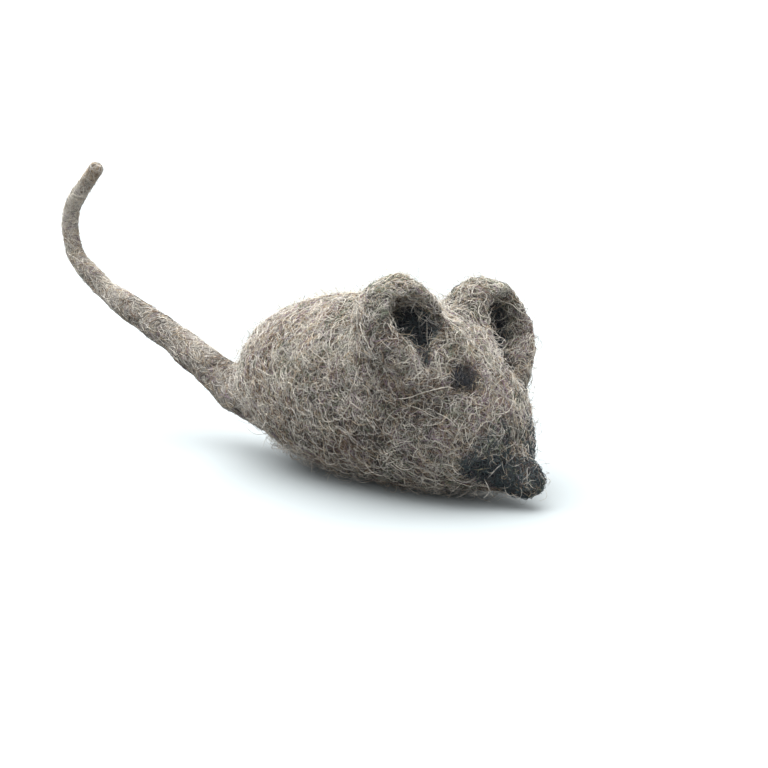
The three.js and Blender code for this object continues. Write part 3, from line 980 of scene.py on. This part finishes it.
# Paler wool on the upper tail is painted light: that part of the tail stands brighter and washed out.
TAIL_TOP_LIGHT = {"cream": 9, "pale": 6, "dark": 0.02, "brown": 0.2, "grey": 0.7}
TAIL_TOP, TAIL_TOP_REACH = tail_line[TAIL_SAMPLES * 6 // 7], 17  # where the painted light on the upper tail is strongest


def tail_paths(count, lengths, height, stray=False):
    """Paths that mostly run along the tail and twist slowly round it."""
    run = rng.uniform(station_run[1] - 9, TAIL_LENGTH - 0.5, count)
    angle = rng.uniform(0, 2 * math.pi, count)
    slant = rng.normal(0, 0.75, count)
    slant += math.pi * (rng.random(count) < 0.5)
    bend, sway = rng.normal(0, 0.35, (2, count))
    phase, rate = rng.uniform(0, 6.3, count), rng.uniform(0.3, 1.0, count)
    step = lengths / (POINTS - 1)
    points, outs = [], []
    for k, share in enumerate(np.linspace(-1, 1, POINTS)):
        if stray:  # it leaves the felt at one end
            lift = height * (share / 2 + 0.5) ** 1.4
        else:  # both its ends are sunk in
            lift = height * (1 - share**4) - 0.1 * share**4
        point, out = on_tail(run, angle, lift)
        points.append(point)
        outs.append(out)
        slant = slant + (bend + sway * np.sin(phase + k * rate)) * step
        run = np.clip(run + np.cos(slant) * step, 0, TAIL_LENGTH - 0.05)
        angle = angle + np.sin(slant) * step / np.interp(run, station_run, TAIL_RADII)
    return np.stack(points, 1), np.stack(outs, 1), run


def lay_tail_wool(name, count, lengths, height, radii, stray=False):
    """Makes a number of fibres on the tail, a piece for each bending place."""
    path, normals, run = tail_paths(count, lengths, height, stray)
    top = TAIL_TOP, TAIL_TOP_REACH, TAIL_TOP_LIGHT
    colours = pick_colours(path[:, POINTS // 2], TAIL_WOOL, TAIL_GAINS, [top])
    at_tip = run > tip_start + rng.normal(0, 1.2, count)
    colours[at_tip] = pick_colours(path[at_tip, 0], TIP_WOOL)
    segment = np.searchsorted(middles[:-1], run)
    for i in range(1, LAST):
        own = segment == i - 1
        if own.any():
            chosen = (part[own] for part in (path, normals, radii, colours))
            fibre_object(f"tail_{name}_{i}", *chosen, "grey_wool", lambda piece, i=i: bend_piece(piece))


lengths = rng.uniform(2, 5, TAIL_COUNT)
height = rng.uniform(0.02, 0.25, TAIL_COUNT)
lay_tail_wool("wool", TAIL_COUNT, lengths, height, rng.uniform(0.045, 0.08, TAIL_COUNT))
lengths = rng.uniform(1.2, 3.5, TAIL_STRAY_COUNT)
height = rng.uniform(0.2, 1.0, TAIL_STRAY_COUNT)
radii = rng.uniform(0.025, 0.04, TAIL_STRAY_COUNT)
lay_tail_wool("strays", TAIL_STRAY_COUNT, lengths, height, radii, stray=True)


# ---------------------------------------------------------------- floor, light and camera
def for_camera(tree, seen, bounced):
    """A colour that the camera sees, and another for the light that the object gets from it."""
    path = tree.nodes.new("ShaderNodeLightPath")
    mix = tree.nodes.new("ShaderNodeMix")
    mix.data_type = "RGBA"
    mix.inputs["A"].default_value = bounced
    mix.inputs["B"].default_value = seen
    tree.links.new(path.outputs["Is Camera Ray"], mix.inputs["Factor"])
    return mix.outputs["Result"]


FLOOR_HALF = 30_000
FLOOR_SEEN, FLOOR_BOUNCED = (0.41, 0.445, 0.455, 1), (0.16, 0.165, 0.17, 1)
corners = np.array([(-1, -1, 0), (1, -1, 0), (1, 1, 0), (-1, 1, 0)]) * FLOOR_HALF
floor_material, floor_shader = new_material("floor", 0.9, 0)
floor_tree = floor_material.node_tree
floor_seen = for_camera(floor_tree, FLOOR_SEEN, FLOOR_BOUNCED)
floor_tree.links.new(floor_seen, floor_shader.inputs["Base Color"])
make_object("floor", corners, np.array([[0, 1, 2, 3]]), [floor_material])

# A light tent: bright overhead and dim towards the floor, with a plain white wall for the camera.
TENT_DOWN = Vector((0.12, -0.14, -1.0))
TENT_BRIGHT, TENT_DIM = 1.6, 0.44
FADE_START, FADE_END = -0.7, 0.12  # from -1 straight overhead to 1 straight down
world = bpy.data.worlds.new("light_tent")
world.use_nodes = True
tree = world.node_tree
direction = tree.nodes.new("ShaderNodeTexCoord")
towards = tree.nodes.new("ShaderNodeVectorMath")
towards.operation = "DOT_PRODUCT"
towards.inputs[1].default_value = TENT_DOWN.normalized()
dimming = tree.nodes.new("ShaderNodeMapRange")
dimming.interpolation_type = "SMOOTHSTEP"
dimming.inputs["From Min"].default_value = FADE_START
dimming.inputs["From Max"].default_value = FADE_END
dimming.inputs["To Min"].default_value = TENT_BRIGHT
dimming.inputs["To Max"].default_value = TENT_DIM
seen = tree.nodes.new("ShaderNodeLightPath")
strength = tree.nodes.new("ShaderNodeMix")
strength.inputs["B"].default_value = 1.0
tree.links.new(direction.outputs["Generated"], towards.inputs[0])
tree.links.new(towards.outputs["Value"], dimming.inputs["Value"])
tree.links.new(dimming.outputs["Result"], strength.inputs["A"])
tree.links.new(seen.outputs["Is Camera Ray"], strength.inputs["Factor"])
tree.links.new(strength.outputs["Result"], tree.nodes["Background"].inputs["Strength"])
tree.nodes["Background"].inputs["Color"].default_value = (1, 1, 1, 1)
bpy.context.scene.world = world

SOFTBOX_STRENGTH, SOFTBOX_WIDTH = 5.0, 80
SOFTBOX_SIDE = Vector((-0.4, 0.08, 1.0))
softbox_light = bpy.data.lights.new("softbox", "SUN")
softbox_light.energy, softbox_light.angle = SOFTBOX_STRENGTH, math.radians(SOFTBOX_WIDTH)
softbox = bpy.data.objects.new("softbox", softbox_light)
softbox.rotation_mode = "QUATERNION"
softbox.rotation_quaternion = SOFTBOX_SIDE.to_track_quat("Z", "Y")
bpy.context.scene.collection.objects.link(softbox)

turn, tilt = math.radians(AZIMUTH), math.radians(ELEVATION)
back = Vector((math.sin(turn) * math.cos(tilt), -math.cos(turn) * math.cos(tilt), math.sin(tilt)))
camera_data = bpy.data.cameras.new("camera")
camera_data.sensor_width = 36
camera_data.lens = 18 / math.tan(math.radians(FIELD_OF_VIEW / 2))
camera_data.clip_start, camera_data.clip_end = 0.01, 100
camera = bpy.data.objects.new("camera", camera_data)
bpy.context.scene.collection.objects.link(camera)
camera.location = (Vector(TARGET) + back * DISTANCE) * MM
camera.rotation_mode = "QUATERNION"
camera.rotation_quaternion = (-back).to_track_quat("-Z", "Y")
bpy.context.scene.camera = camera
bpy.context.scene.view_settings.view_transform = "Standard"
